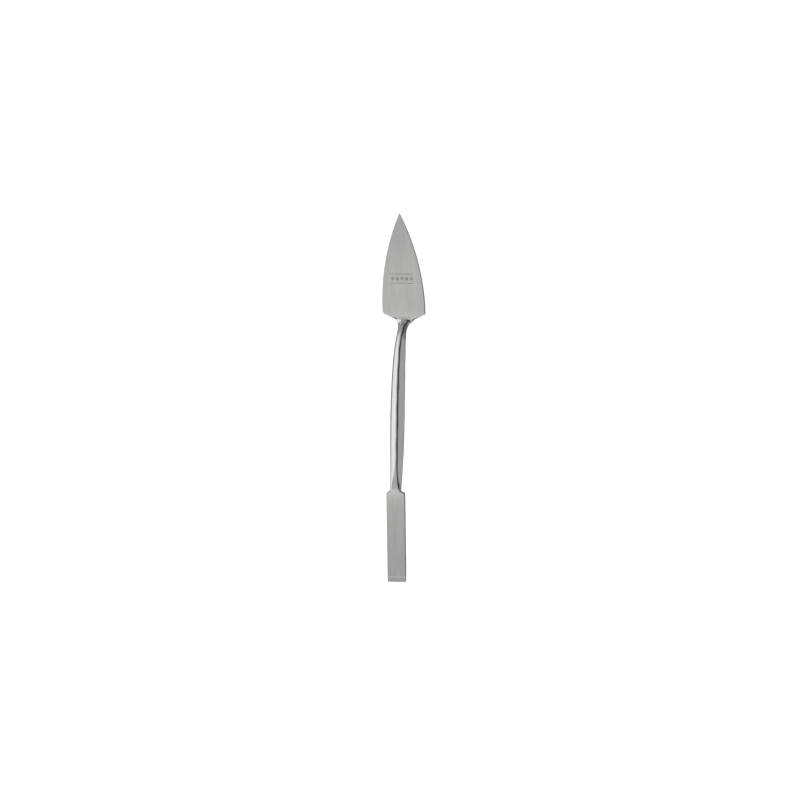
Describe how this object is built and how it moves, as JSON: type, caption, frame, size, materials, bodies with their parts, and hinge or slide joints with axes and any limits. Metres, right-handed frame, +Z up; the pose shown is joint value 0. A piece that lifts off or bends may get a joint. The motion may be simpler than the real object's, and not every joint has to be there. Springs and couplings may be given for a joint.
{
  "type": "double-ended palette knife",
  "caption": "Double-ended steel hand tool with a pointed trowel blade, a ridged, swelled shank and a square-ended flat blade, for spreading and shaping paint, plaster or clay.",
  "frame": {"origin": "on the table, under the middle of the tool's length and width, with the tool lying face up", "axes": "+Y along the tool towards the trowel's tip, +Z up out of the trowel's upper face, X across the blades"},
  "size_m": [0.0282, 0.23, 0.0155],
  "materials": {
    "satin_blade_steel": "satin, linished along the tool",
    "polished_shank_steel": "polished, with soft hand-linishing marks along the tool"
  },
  "bodies": {
    "root": {"trowel_blade": "satin_blade_steel", "trowel_neck": "polished_shank_steel", "shank": "polished_shank_steel", "square_neck": "polished_shank_steel", "square_blade": "satin_blade_steel"}
  },
  "joints": []
}
